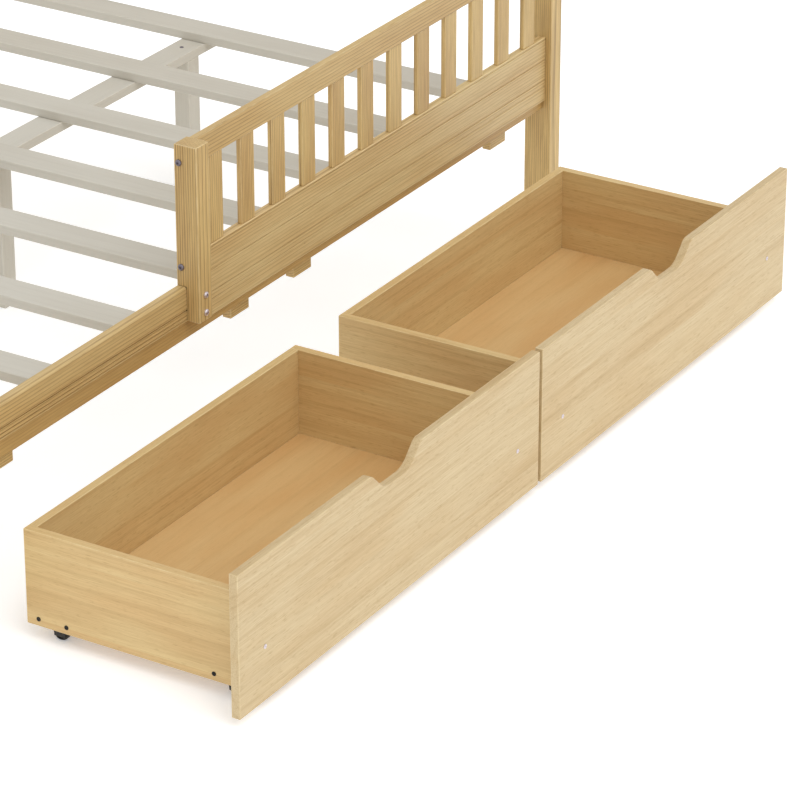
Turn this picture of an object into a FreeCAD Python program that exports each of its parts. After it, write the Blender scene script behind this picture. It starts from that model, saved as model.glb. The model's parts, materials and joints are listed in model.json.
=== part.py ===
import FreeCAD, Part
import os
import Sketcher

# Platform bed with two rolling storage drawers, millimetres.
# X runs from the foot end to the head end, Y from the drawer side to the far side, Z up.
# The origin is on the floor, under the middle of the whole object with its drawers pulled out.

doc = FreeCAD.newDocument("storage_bed")
sheet = doc.addObject("Spreadsheet::Sheet", "dims")

# The driving dimensions. Each is set once, here.
DIMENSIONS = {
    # frame
    "inner_length": 1910,        # between the head posts and the foot posts
    "frame_width": 1481,         # over the outer faces of the side rails and guards
    "deck_support": 314,         # top of the ledgers, cleats and centre beam
    "side_rail_thickness": 19,
    "side_rail_height": 63.5,
    "side_rail_round": 5,
    "groove_rise": 20,           # middle of the groove above the rail's lower edge
    "groove_width": 3,
    "groove_depth": 2,
    "ledger_setback": 5,         # ledger face behind the rail face
    "ledger_thickness": 11,
    "ledger_height": 36,
    "cleat_thickness": 25,
    "cleat_height": 25,
    # corner posts
    "post_x": 41,
    "post_y": 57,
    "post_proud": 12.5,          # the corner posts stand out of the rail face by this
    "head_post_rise": 15,        # above the headboard
    "foot_post_rise": 32,        # above the foot board
    # guard on the head half of each side
    "guard_length": 1205,        # from the head posts to the guard post
    "guard_post_x": 38,
    "guard_post_proud": 26,      # the guard post stands out of the rail face by this
    "baluster_length": 163,
    "guard_rail_height": 48,
    "guard_rail_thickness": 14,
    "guard_board_rise": 114,     # above the deck support
    "guard_board_lap": 19,       # the board's thin lower edge laps the ledger by this
    "baluster_width": 42,
    "baluster_thickness": 10,
    "baluster_setback": 2,       # baluster face behind the guard board face
    "baluster_end_gap": 40.3,    # from each end of the guard to its first baluster
    # slats and their supports
    "slat_width": 66,
    "slat_thickness": 19,
    "slat_end_margin": 65.55,    # from the posts to the first slat
    "slat_end_gap": 3,           # between a slat's end and the side rail
    "beam_width": 57,
    "beam_thickness": 19,
    "beam_end_margin": 75,       # from the posts to the end of the beam
    "centre_leg_x": 38,
    "centre_leg_y": 36,
    "centre_leg_inner": 150,     # centre legs, distance from the middle of the bed
    "centre_leg_from_end": 96,   # outer centre legs, from the end of the beam
    # head end and foot end
    "end_rail_thickness": 19,
    "end_rail_drop": 64,         # below the deck support
    "end_rail_height": 38,
    "headboard_rail_height": 60,
    "headboard_lower_bottom": 520,
    "headboard_top": 885,
    "headboard_end_gap": 51,
    # stops that a closed drawer front comes up to
    "stop_width": 58,
    "stop_depth": 18,
    "stop_height": 38,
    "stop_inner": 102,           # stop centres, distance from the middle of the bed
    "stop_from_end": 144,        # outer stops, from the outer end of a drawer front
    # drawers
    "front_side_gap": 10,        # between a drawer front and the post beside it
    "front_gap": 10,             # between the two drawer fronts
    "front_bottom": 17,
    "front_head_gap": 5,         # between a closed front and the ledger over it
    "front_thickness": 16,
    "front_stop_gap": 1,         # between a closed front and its stops
    "travel": 535,
    "notch_floor": 77.4,
    "notch_depth": 38,
    "notch_floor_radius": 45,
    "notch_lip_radius": 20,
    "front_overhang": 66,        # the front reaches this far past each side of the box
    "box_depth": 457,            # from the outer face of the front to the back
    "side_drop": 5,              # the sides and back reach this far below the base
    "box_drop": 72,              # the box ends this far below the top of the front
    "box_panel": 16,
    "base_panel": 5,
    "wheel_head_gap": 1.5,       # between a wheel and the plate over it
    # casters
    "wheel_radius": 15,
    "wheel_width": 12,
    "wheel_gap": 0.8,            # between a wheel and each cheek of its bracket
    "axle_radius": 2.5,
    "running_clearance": 0.05,
    "cut_margin": 1,             # a cutting tool reaches this far past what it cuts
    "axle_head_radius": 4,
    "axle_head": 1.2,
    "bracket_sheet": 1.5,
    "bracket_length": 38,
    "bracket_cheek": 22,         # along the cheek, front to back
    "bracket_drop": 7,           # the cheek ends this far below the axle
    "axle_gap": 0.5,             # between an axle's head and the side panel
    "caster_back": 51,           # from the back of the box to the rear wheels
    "caster_front": 65,          # from the outer face of the front to the front wheels
    # screw and bolt heads
    "screw_head_radius": 4,
    "screw_head": 1.5,
    "screw_rise": 13,            # row of screws above the lower edge of a drawer side
    "screw_spread": 27.5,
    "front_cap_rise": 86,        # above the lower edge of a drawer side
    "bolt_head_radius": 6,
    "bolt_head": 4,
    "bolt_spread": 16.5,         # each bolt of a pair, from the middle of the pair
    "bolt_edge": 15,
}
for row, (alias, value) in enumerate(DIMENSIONS.items(), start=1):
    sheet.set(f"A{row}", alias)
    sheet.set(f"B{row}", str(value))
    sheet.setAlias(f"B{row}", alias)
doc.recompute()

BALUSTERS = 12
HEADBOARD_BALUSTERS = 13
SLATS = 8
HALF_LENGTH = "dims.inner_length / 2"
FACE = "dims.frame_width / 2"
GUARD_START = f"({HALF_LENGTH} - dims.guard_length)"
SUPPORT = "dims.deck_support"
# The inner plane that the ledgers, the guard boards and the drawer stops share.
BACKING = f"({FACE} - dims.ledger_setback - dims.ledger_thickness)"
LEDGER_FACE = f"({FACE} - dims.ledger_setback)"
RAIL_BACK = f"({FACE} - dims.side_rail_thickness)"
RAIL_TOP = f"({SUPPORT} + dims.side_rail_height)"
POST_INSIDE = f"({FACE} + dims.post_proud - dims.post_y)"
# Heights of the groove and the guard, and the spacing of the guard's balusters.
GROOVE = f"({SUPPORT} + dims.groove_rise)"
GUARD_BOARD_TOP = f"({SUPPORT} + dims.guard_board_rise)"
GUARD_TOP = f"({GUARD_BOARD_TOP} + dims.baluster_length + dims.guard_rail_height)"
BALUSTER_PITCH = ("((dims.guard_length - 2 * dims.baluster_end_gap - dims.baluster_width)"
                  f" / {BALUSTERS - 1})")
# The two ends, the deck and its middle beam.
HEADBOARD_POST = "(dims.headboard_top + dims.head_post_rise)"
FOOT_POST = f"({GUARD_BOARD_TOP} + dims.foot_post_rise)"
END_RAIL_BOTTOM = f"({SUPPORT} - dims.end_rail_drop)"
HEADBOARD_PITCH = (f"((2 * {POST_INSIDE} - 2 * dims.headboard_end_gap - dims.baluster_width)"
                   f" / {HEADBOARD_BALUSTERS - 1})")
SLAT_PITCH = ("((dims.inner_length - 2 * dims.slat_end_margin - dims.slat_width)"
              f" / {SLATS - 1})")
BEAM_HALF = f"({HALF_LENGTH} - dims.beam_end_margin)"
OUTER_LEG = f"({BEAM_HALF} - dims.centre_leg_from_end)"
# A drawer: its front fills its half of the bay, and its box hangs over its wheels.
FRONT_WIDTH = "((dims.inner_length - 2 * dims.front_side_gap - dims.front_gap) / 2)"
FRONT_TOP = f"({SUPPORT} - dims.ledger_height - dims.front_head_gap)"
FRONT_HEIGHT = f"({FRONT_TOP} - dims.front_bottom)"
OUTER_STOP = f"({FRONT_WIDTH} + dims.front_gap / 2 - dims.stop_from_end)"
BOX_WIDTH = f"({FRONT_WIDTH} - 2 * dims.front_overhang)"
BASE_TOP = ("(2 * dims.wheel_radius + dims.wheel_head_gap + dims.bracket_sheet"
            " + dims.base_panel)")
BOX_BOTTOM = f"({BASE_TOP} - dims.base_panel - dims.side_drop)"
BOX_HEIGHT = f"({FRONT_TOP} - dims.box_drop - {BOX_BOTTOM})"
CASTER_INSET = ("(dims.box_panel + dims.wheel_width / 2 + dims.wheel_gap + dims.bracket_sheet"
                " + dims.axle_head + dims.axle_gap)")
SCREW_HEIGHT = f"({BOX_BOTTOM} + dims.screw_rise)"
CAP_HEIGHT = f"({BOX_BOTTOM} + dims.front_cap_rise)"
# Outer face of a pulled-out drawer front.
OUT = f"({BACKING} + dims.front_stop_gap + dims.front_thickness + dims.travel)"
# Everything is moved along Y by this, so that the origin is in the middle of the whole object.
SHIFT = (f"(({OUT} + dims.screw_head) - ({FACE} + dims.guard_post_proud + dims.bolt_head)) / 2")
TOLERANCE = 0.01
nodes = []


def place(piece, base):
    """Tie a piece's position to three expressions, Y measured from the middle of the frame."""
    x, y, z = base
    for axis, expression in zip("xyz", (x, f"{y} + {SHIFT}", z)):
        piece.setExpression(f"Placement.Base.{axis}", str(expression))


def keep(piece, label):
    """Give a finished sub-part its label, which is also the name of its file."""
    piece.Label = label
    nodes.append(piece)
    return piece


def block(label, size, base, finished=True):
    """A rectangular piece: its size along X, Y and Z and its lowest corner."""
    piece = doc.addObject("Part::Box", label)
    for name, expression in zip(("Length", "Width", "Height"), size):
        piece.setExpression(name, str(expression))
    place(piece, base)
    return keep(piece, label) if finished else piece


def round_bar(label, radius, length, centre, axis):
    """A round bar from its first end's centre, along a row axis."""
    piece = doc.addObject("Part::Cylinder", label)
    piece.setExpression("Radius", str(radius))
    piece.setExpression("Height", str(length))
    turn = FreeCAD.Rotation(FreeCAD.Vector(0, 0, 1), axis)
    piece.Placement = FreeCAD.Placement(FreeCAD.Vector(), turn)
    place(piece, centre)
    return piece


def group(label, pieces):
    """Separate solids that share one node."""
    piece = doc.addObject("Part::Compound", label)
    piece.Links = pieces
    return keep(piece, label)


def mirrored(piece, label):
    """The far side's copy of a piece on the drawer side."""
    copy = doc.addObject("Part::Mirroring", label)
    copy.Source = piece
    copy.Normal = FreeCAD.Vector(0, 1, 0)
    copy.setExpression("Base.y", SHIFT)
    return copy


def outline_body(label, plane, corners, thickness, reverse=False):
    """A body padded from a closed outline, whose corners are pairs of expressions."""
    body = doc.addObject("PartDesign::Body", label)
    sketch = body.newObject("Sketcher::SketchObject", f"{label}_outline")
    origin_plane = next(p for p in body.Origin.OriginFeatures if p.Role == plane)
    sketch.AttachmentSupport = [(origin_plane, "")]
    sketch.MapMode = "FlatFace"
    values = [(number(across), number(up)) for across, up in corners]
    count = len(corners)
    for i, (across, up) in enumerate(values):
        after = values[(i + 1) % count]
        line = Part.LineSegment(FreeCAD.Vector(across, up, 0), FreeCAD.Vector(*after, 0))
        sketch.addGeometry(line, False)
    for i in range(count):
        sketch.addConstraint(Sketcher.Constraint("Coincident", i, 2, (i + 1) % count, 1))
    for i, (corner, value) in enumerate(zip(corners, values)):
        for kind, expression, distance in zip(("DistanceX", "DistanceY"), corner, value):
            index = sketch.addConstraint(Sketcher.Constraint(kind, -1, 1, i, 1, distance))
            sketch.setExpression(f"Constraints[{index}]", expression)
    pad = body.newObject("PartDesign::Pad", f"{label}_pad")
    pad.Profile = sketch
    pad.Reversed = reverse
    pad.setExpression("Length", thickness)
    doc.recompute()
    return body, pad


def round_edges(body, base, name, radius, wanted):
    """Round the straight edges of a body's feature that wanted(start, end) accepts."""
    edges = []
    for index, edge in enumerate(base.Shape.Edges, start=1):
        ends = [vertex.Point for vertex in edge.Vertexes]
        if len(ends) == 2 and wanted(*ends):
            edges.append(f"Edge{index}")
    if not edges:
        raise RuntimeError(f"{body.Label}: no edge to round for {name}")
    fillet = body.newObject("PartDesign::Fillet", f"{body.Label}_{name}")
    fillet.Base = (base, edges)
    fillet.setExpression("Radius", radius)
    doc.recompute()
    return fillet


def number(expression):
    """The present value of an expression in the sheet's dimensions."""
    return float(sheet.evalExpression(expression.replace("dims.", "")))


# ---------------------------------------------------------------- frame, drawer side

near = {}
for end, x, top in (("head", HALF_LENGTH, HEADBOARD_POST),
                    ("foot", f"-{HALF_LENGTH} - dims.post_x", FOOT_POST)):
    near[f"{end}_post"] = block(
        f"{end}_post_drawer_side",
        ("dims.post_x", "dims.post_y", top),
        (x, f"-{FACE} - dims.post_proud", 0))

near["ledger"] = block(
    "ledger_drawer_side",
    ("dims.inner_length", "dims.ledger_thickness", "dims.ledger_height"),
    (f"-{HALF_LENGTH}", f"-{LEDGER_FACE}", f"{SUPPORT} - dims.ledger_height"))
near["slat_cleat"] = block(
    "slat_cleat_drawer_side",
    ("dims.inner_length", "dims.cleat_thickness", "dims.cleat_height"),
    (f"-{HALF_LENGTH}", f"-{BACKING}", f"{SUPPORT} - dims.cleat_height"))

# The side rail stands on the ledger and the cleat, with a groove along its face.
groove_low = f"{GROOVE} - dims.groove_width / 2"
groove_high = f"{GROOVE} + dims.groove_width / 2"
rail, rail_pad = outline_body(
    "side_rail_drawer_side", "YZ_Plane",
    [(f"-{RAIL_BACK}", SUPPORT),
     (f"-{RAIL_BACK}", RAIL_TOP),
     (f"-{FACE}", RAIL_TOP),
     (f"-{FACE}", groove_high),
     (f"-{FACE} + dims.groove_depth", groove_high),
     (f"-{FACE} + dims.groove_depth", groove_low),
     (f"-{FACE}", groove_low),
     (f"-{FACE}", SUPPORT)],
    f"{GUARD_START} + {HALF_LENGTH}")
round_edges(rail, rail_pad, "top_round", "dims.side_rail_round",
            lambda start, end: all(abs(point.z - number(RAIL_TOP)) < TOLERANCE
                                   and abs(point.y + number(FACE)) < TOLERANCE
                                   for point in (start, end)))
place(rail, (f"-{HALF_LENGTH}", 0, 0))
near["side_rail"] = keep(rail, "side_rail_drawer_side")

# The guard post: its back part stands on the rail, its front part laps over the rail's face.
post, _ = outline_body(
    "guard_post_drawer_side", "YZ_Plane",
    [(f"-{FACE} - dims.guard_post_proud", SUPPORT),
     (f"-{FACE}", SUPPORT),
     (f"-{FACE}", RAIL_TOP),
     (f"-{RAIL_BACK}", RAIL_TOP),
     (f"-{RAIL_BACK}", GUARD_TOP),
     (f"-{FACE} - dims.guard_post_proud", GUARD_TOP)],
    "dims.guard_post_x")
place(post, (f"{GUARD_START} - dims.guard_post_x", 0, 0))
near["guard_post"] = keep(post, "guard_post_drawer_side")

# The guard board stands on the ledger, and its thin lower edge laps down over the ledger's face.
board, _ = outline_body(
    "guard_board_drawer_side", "YZ_Plane",
    [(f"-{BACKING}", SUPPORT),
     (f"-{BACKING}", GUARD_BOARD_TOP),
     (f"-{FACE}", GUARD_BOARD_TOP),
     (f"-{FACE}", f"{SUPPORT} - dims.guard_board_lap"),
     (f"-{LEDGER_FACE}", f"{SUPPORT} - dims.guard_board_lap"),
     (f"-{LEDGER_FACE}", SUPPORT)],
    "dims.guard_length")
place(board, (GUARD_START, 0, 0))
near["guard_board"] = keep(board, "guard_board_drawer_side")

guard_rail_bottom = f"{GUARD_TOP} - dims.guard_rail_height"
near["guard_top_rail"] = block(
    "guard_top_rail_drawer_side",
    ("dims.guard_length", "dims.guard_rail_thickness", "dims.guard_rail_height"),
    (GUARD_START, f"-{FACE}", guard_rail_bottom))
near["guard_balusters"] = group("guard_balusters_drawer_side", [
    block(f"guard_baluster_{i + 1}",
          ("dims.baluster_width", "dims.baluster_thickness",
           f"{guard_rail_bottom} - {GUARD_BOARD_TOP}"),
          (f"{GUARD_START} + dims.guard_length / 2 - dims.baluster_width / 2"
           f" + ({i} - {(BALUSTERS - 1) / 2}) * {BALUSTER_PITCH}",
           f"-{FACE} + dims.baluster_setback", GUARD_BOARD_TOP),
          finished=False)
    for i in range(BALUSTERS)])

# Bolt heads: two in the side and two in the front of the guard post, two behind each corner post.
along_x = FreeCAD.Vector(1, 0, 0)
along_y = FreeCAD.Vector(0, 1, 0)
guard_post_x = f"{GUARD_START} - dims.guard_post_x"
across_y = f"-{FACE} + dims.side_rail_thickness / 2"
rail_middle = f"({SUPPORT} + dims.side_rail_height / 2)"
bolts = []
for i, (height, spread) in enumerate((
        (f"{guard_rail_bottom} + dims.bolt_edge", "dims.bolt_spread"),
        (f"{GUARD_BOARD_TOP} - dims.bolt_edge", "-dims.bolt_spread"))):
    heads = (
        ("guard_side", (f"{guard_post_x} - dims.bolt_head", across_y, height), along_x),
        ("head_post", (f"{HALF_LENGTH} + dims.post_x", across_y, height), along_x),
        ("foot_post", (f"-{HALF_LENGTH} - dims.post_x - dims.bolt_head", across_y,
                       f"{rail_middle} + {spread}"), along_x),
        ("guard_front", (f"{guard_post_x} + dims.guard_post_x / 2",
                         f"-{FACE} - dims.guard_post_proud - dims.bolt_head",
                         f"{rail_middle} + {spread}"), along_y))
    for name, centre, axis in heads:
        bolts.append(round_bar(f"{name}_bolt_{i + 1}", "dims.bolt_head_radius",
                               "dims.bolt_head", centre, axis))

# ---------------------------------------------------------------- frame, far side

for name, piece in near.items():
    keep(mirrored(piece, f"{name}_far_side"), f"{name}_far_side")
far_bolts = [mirrored(bolt, f"{bolt.Label}_far") for bolt in bolts]
up = FreeCAD.Vector(0, 0, 1)
beam_screws = [
    round_bar(f"beam_screw_{i + 1}", "dims.screw_head_radius", "dims.screw_head",
              (x, 0, SUPPORT), up)
    for i, x in enumerate((f"-{OUTER_LEG}", OUTER_LEG))]
group("frame_bolts", bolts + far_bolts + beam_screws)

# ---------------------------------------------------------------- slats, beam and legs

for i in range(SLATS):
    block(f"slat_{i + 1}",
          ("dims.slat_width", f"2 * ({RAIL_BACK} - dims.slat_end_gap)", "dims.slat_thickness"),
          (f"({i} - {(SLATS - 1) / 2}) * {SLAT_PITCH} - dims.slat_width / 2",
           f"-{RAIL_BACK} + dims.slat_end_gap", SUPPORT))

beam_bottom = f"{SUPPORT} - dims.beam_thickness"
for end, x in (("foot", f"-{BEAM_HALF}"), ("head", "0")):
    block(f"centre_beam_{end}", (BEAM_HALF, "dims.beam_width", "dims.beam_thickness"),
          (x, "-dims.beam_width / 2", beam_bottom))
leg_places = (f"-{OUTER_LEG}", "-dims.centre_leg_inner",
              "dims.centre_leg_inner", OUTER_LEG)
group("centre_legs", [
    block(f"centre_leg_{i + 1}", ("dims.centre_leg_x", "dims.centre_leg_y", beam_bottom),
          (f"{x} - dims.centre_leg_x / 2", "-dims.beam_width / 2", 0), finished=False)
    for i, x in enumerate(leg_places)])

stop_places = (f"-{OUTER_STOP}", "-dims.stop_inner", "dims.stop_inner", OUTER_STOP)
group("drawer_stops", [
    block(f"drawer_stop_{i + 1}", ("dims.stop_width", "dims.stop_depth", "dims.stop_height"),
          (f"{x} - dims.stop_width / 2", f"-{BACKING}",
           f"{SUPPORT} - dims.cleat_height - dims.stop_height"), finished=False)
    for i, x in enumerate(stop_places)])

# ---------------------------------------------------------------- head end and foot end

end_x = f"{HALF_LENGTH} + (dims.post_x - dims.end_rail_thickness) / 2"
head_rails = (
    ("head_end_rail", END_RAIL_BOTTOM, "dims.end_rail_height"),
    ("headboard_lower_rail", "dims.headboard_lower_bottom", "dims.headboard_rail_height"),
    ("headboard_top_rail", "dims.headboard_top - dims.headboard_rail_height",
     "dims.headboard_rail_height"))
for label, bottom, height in head_rails:
    block(label, ("dims.end_rail_thickness", f"2 * {POST_INSIDE}", height),
          (end_x, f"-{POST_INSIDE}", bottom))
group("headboard_balusters", [
    block(f"headboard_baluster_{i + 1}",
          ("dims.baluster_thickness", "dims.baluster_width",
           "dims.headboard_top - 2 * dims.headboard_rail_height - dims.headboard_lower_bottom"),
          (f"{HALF_LENGTH} + (dims.post_x - dims.baluster_thickness) / 2",
           f"({i} - {(HEADBOARD_BALUSTERS - 1) / 2}) * {HEADBOARD_PITCH}"
           " - dims.baluster_width / 2",
           "dims.headboard_lower_bottom + dims.headboard_rail_height"), finished=False)
    for i in range(HEADBOARD_BALUSTERS)])
foot_bottom = f"{SUPPORT} - dims.ledger_height"
block("foot_board",
      ("dims.end_rail_thickness", f"2 * {POST_INSIDE}", f"{GUARD_BOARD_TOP} - ({foot_bottom})"),
      (f"-{HALF_LENGTH} - (dims.post_x + dims.end_rail_thickness) / 2",
       f"-{POST_INSIDE}", foot_bottom))

# ---------------------------------------------------------------- drawers


def drawer_front(label, left):
    """The front panel, with a scooped finger notch in the middle of its top edge."""
    middle = f"({left} + {FRONT_WIDTH} / 2)"
    top = f"(dims.front_bottom + {FRONT_HEIGHT})"
    floor = f"({top} - dims.notch_depth)"
    floor_half = "dims.notch_floor / 2"
    lip_half = f"({floor_half} + dims.notch_depth)"
    body, pad = outline_body(
        label, "XZ_Plane",
        [(left, "dims.front_bottom"),
         (f"{left} + {FRONT_WIDTH}", "dims.front_bottom"),
         (f"{left} + {FRONT_WIDTH}", top),
         (f"{middle} + {lip_half}", top),
         (f"{middle} + {floor_half}", floor),
         (f"{middle} - {floor_half}", floor),
         (f"{middle} - {lip_half}", top),
         (left, top)],
        "dims.front_thickness", reverse=True)
    feature = pad
    for name, radius, half, level in (
            ("notch_floor", "dims.notch_floor_radius", floor_half, floor),
            ("notch_lip", "dims.notch_lip_radius", lip_half, top)):
        def at_corner(start, end):
            """Whether an edge runs through the panel at this pair of notch corners."""
            across = abs(abs(start.x - number(middle)) - number(half)) < TOLERANCE
            return (across and abs(start.x - end.x) < TOLERANCE
                    and abs(start.z - number(level)) < TOLERANCE
                    and abs(end.z - number(level)) < TOLERANCE)
        feature = round_edges(body, feature, name, radius, at_corner)
    place(body, (0, f"-{OUT}", 0))
    return keep(body, label)


def caster(label, x, y):
    """One caster: its bracket and axle as unfinished pieces, and its wheel as a node."""
    inner = "(dims.wheel_width / 2 + dims.wheel_gap)"
    outer = f"({inner} + dims.bracket_sheet)"
    base = f"{BASE_TOP} - dims.base_panel"
    plate = block(f"{label}_plate", (f"2 * {outer}", "dims.bracket_length", "dims.bracket_sheet"),
                  (f"{x} - {outer}", f"{y} - dims.bracket_length / 2",
                   f"{base} - dims.bracket_sheet"), finished=False)
    cheeks = []
    for side, start in (("left", f"{x} - {outer}"), ("right", f"{x} + {inner}")):
        cheeks.append(block(
            f"{label}_{side}_cheek",
            ("dims.bracket_sheet", "dims.bracket_cheek",
             f"{base} - dims.wheel_radius + dims.bracket_drop"),
            (start, f"{y} - dims.bracket_cheek / 2", "dims.wheel_radius - dims.bracket_drop"),
            finished=False))
    fused = doc.addObject("Part::MultiFuse", f"{label}_sheet")
    fused.Shapes = [plate] + cheeks
    hole = round_bar(f"{label}_hole", "dims.axle_radius + dims.running_clearance",
                     f"2 * ({outer} + dims.cut_margin)",
                     (f"{x} - {outer} - dims.cut_margin", y, "dims.wheel_radius"), along_x)
    bracket = doc.addObject("Part::Cut", f"{label}_bracket")
    bracket.Base = fused
    bracket.Tool = hole
    pin = round_bar(f"{label}_pin", "dims.axle_radius", f"2 * ({outer} + dims.axle_head)",
                    (f"{x} - {outer} - dims.axle_head", y, "dims.wheel_radius"), along_x)
    heads = []
    for side, start in (("left", f"{x} - {outer} - dims.axle_head"), ("right", f"{x} + {outer}")):
        heads.append(round_bar(f"{label}_{side}_head", "dims.axle_head_radius", "dims.axle_head",
                               (start, y, "dims.wheel_radius"), along_x))
    axle = doc.addObject("Part::MultiFuse", f"{label}_axle")
    axle.Shapes = [pin] + heads
    disc = round_bar(f"{label}_disc", "dims.wheel_radius", "dims.wheel_width",
                     (f"{x} - dims.wheel_width / 2", y, "dims.wheel_radius"), along_x)
    bore = round_bar(f"{label}_bore", "dims.axle_radius + dims.running_clearance",
                     "dims.wheel_width + 2 * dims.cut_margin",
                     (f"{x} - dims.wheel_width / 2 - dims.cut_margin", y, "dims.wheel_radius"),
                     along_x)
    wheel = doc.addObject("Part::Cut", f"{label}_wheel")
    wheel.Base = disc
    wheel.Tool = bore
    keep(wheel, f"{label}_wheel")
    return bracket, axle


def drawer(name, left):
    """One drawer: front, two sides, back, base, casters and screw heads."""
    box_left = f"({left} + ({FRONT_WIDTH} - {BOX_WIDTH}) / 2)"
    box_right = f"({box_left} + {BOX_WIDTH})"
    back = f"(-{OUT} + dims.box_depth)"
    side_start = f"-{OUT} + dims.front_thickness"
    drawer_front(f"{name}_front", left)
    for side, x in (("left", box_left), ("right", f"{box_right} - dims.box_panel")):
        block(f"{name}_{side}_panel",
              ("dims.box_panel", "dims.box_depth - dims.front_thickness", BOX_HEIGHT),
              (x, side_start, BOX_BOTTOM))
    block(f"{name}_back_panel",
          (f"{BOX_WIDTH} - 2 * dims.box_panel", "dims.box_panel", BOX_HEIGHT),
          (f"{box_left} + dims.box_panel", f"{back} - dims.box_panel", BOX_BOTTOM))
    block(f"{name}_base",
          (f"{BOX_WIDTH} - 2 * dims.box_panel",
           "dims.box_depth - dims.front_thickness - dims.box_panel", "dims.base_panel"),
          (f"{box_left} + dims.box_panel", side_start, f"{BASE_TOP} - dims.base_panel"))
    brackets = []
    axles = []
    screws = []
    for row, y in (("front", f"(-{OUT} + dims.caster_front)"),
                   ("rear", f"({back} - dims.caster_back)")):
        for side, x, screw_x in (
                ("left", f"({box_left} + {CASTER_INSET})", f"{box_left} - dims.screw_head"),
                ("right", f"({box_right} - {CASTER_INSET})", box_right)):
            bracket, axle = caster(f"{name}_{row}_{side}", x, y)
            brackets.append(bracket)
            axles.append(axle)
            for i, spread in enumerate(("-dims.screw_spread", "dims.screw_spread")):
                screws.append(round_bar(
                    f"{name}_{row}_{side}_screw_{i + 1}", "dims.screw_head_radius",
                    "dims.screw_head", (screw_x, f"{y} + {spread}", SCREW_HEIGHT),
                    along_x))
    for side, x in (("left", f"{box_left} + dims.box_panel / 2"),
                    ("right", f"{box_right} - dims.box_panel / 2")):
        screws.append(round_bar(
            f"{name}_{side}_front_cap", "dims.screw_head_radius", "dims.screw_head",
            (x, f"-{OUT} - dims.screw_head", CAP_HEIGHT), along_y))
    group(f"{name}_caster_brackets", brackets)
    group(f"{name}_caster_axles", axles)
    group(f"{name}_screws", screws)


drawer("drawer_1", f"(-{FRONT_WIDTH} - dims.front_gap / 2)")
drawer("drawer_2", "(dims.front_gap / 2)")

# ---------------------------------------------------------------- checks and files

doc.recompute()
for item in doc.Objects:
    if "Invalid" in item.State or "Error" in item.State:
        raise RuntimeError(f"{item.Label}: {item.State}")
labels = [piece.Label for piece in nodes]
if len(set(labels)) != len(labels):
    raise RuntimeError("two sub-parts share a label")
for piece in nodes:
    if piece.Shape.isNull() or not piece.Shape.isValid():
        raise RuntimeError(f"{piece.Label}: no valid shape")
os.makedirs("parts", exist_ok=True)
for piece in nodes:
    piece.Shape.exportStep(f"parts/{piece.Label}.step")
print(len(nodes), "sub-parts written")
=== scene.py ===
"""A platform bed in lacquered pine, with two storage drawers that roll out on one side."""
import json
import logging
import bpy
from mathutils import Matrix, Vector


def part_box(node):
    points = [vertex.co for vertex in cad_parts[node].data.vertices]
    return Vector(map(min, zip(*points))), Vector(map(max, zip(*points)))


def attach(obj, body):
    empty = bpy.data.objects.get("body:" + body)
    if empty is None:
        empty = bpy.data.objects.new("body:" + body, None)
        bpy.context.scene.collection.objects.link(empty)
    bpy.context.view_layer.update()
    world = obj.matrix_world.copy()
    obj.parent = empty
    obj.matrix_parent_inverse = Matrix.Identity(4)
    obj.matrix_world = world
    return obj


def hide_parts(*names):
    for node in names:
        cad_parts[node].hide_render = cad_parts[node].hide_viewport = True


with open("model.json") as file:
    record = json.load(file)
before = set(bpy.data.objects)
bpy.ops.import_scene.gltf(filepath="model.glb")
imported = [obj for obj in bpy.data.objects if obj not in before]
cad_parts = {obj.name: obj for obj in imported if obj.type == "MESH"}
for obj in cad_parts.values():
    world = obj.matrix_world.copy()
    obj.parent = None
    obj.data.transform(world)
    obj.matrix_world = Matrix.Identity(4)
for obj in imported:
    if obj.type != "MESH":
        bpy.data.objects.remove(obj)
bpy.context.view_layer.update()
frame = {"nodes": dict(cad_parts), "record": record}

import zlib
from dataclasses import dataclass, field
from enum import Enum
from typing import Any, Sequence

import bmesh
import bpy
import numpy as np
from mathutils import Matrix, Vector

log = logging.getLogger("storage_bed")
MM = 0.001
EASE = 1.6 * MM     # radius of a board's sanded edges, where nothing else is said
SECTION_EASE = 1.15  # a section's corners are this much rounder, so that its eased ends don't fold
SAME_PLACE = 5      # decimals of a metre to which points that lie together agree
SAME_ROW = 4        # decimals of a metre to which solids in one row agree
Array = np.ndarray
Tree = bpy.types.NodeTree
Socket = bpy.types.NodeSocket


class Axis(Enum):
    """A row axis, by its place in a coordinate."""

    X = 0
    Y = 1
    Z = 2


# ------------------------------------------------------------------ colour and nodes


def linear(code: str) -> tuple[float, float, float, float]:
    """Turn an sRGB hex colour into linear light.

    Args:
        code: Six hex digits, red first.

    Returns:
        Red, green, blue and an alpha of 1.
    """
    values = np.array([int(code[i:i + 2], 16) for i in (0, 2, 4)]) / 255
    light = np.where(values <= 0.04045, values / 12.92, ((values + 0.055) / 1.055) ** 2.4)
    return (*light.tolist(), 1.0)


def add(tree: Tree, kind: str, inputs: dict[Any, Any], **settings: Any) -> bpy.types.Node:
    """Add a shader node.

    Args:
        tree: The material's node tree.
        kind: The node's type, without its "ShaderNode" prefix.
        inputs: A value or an output socket for each input, by name or place.
        **settings: The node's own properties.

    Returns:
        The new node.
    """
    made = tree.nodes.new(f"ShaderNode{kind}")
    for name, value in settings.items():
        setattr(made, name, value)
    for name, value in inputs.items():
        if isinstance(value, Socket):
            tree.links.new(value, made.inputs[name])
        else:
            made.inputs[name].default_value = value
    return made


def empty_material(name: str) -> tuple[bpy.types.Material, Tree]:
    """Make a material with an empty node tree.

    Args:
        name: The material's name.

    Returns:
        The material and its node tree.
    """
    material = bpy.data.materials.new(name)
    material.use_nodes = True
    material.node_tree.nodes.clear()
    return material, material.node_tree


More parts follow.
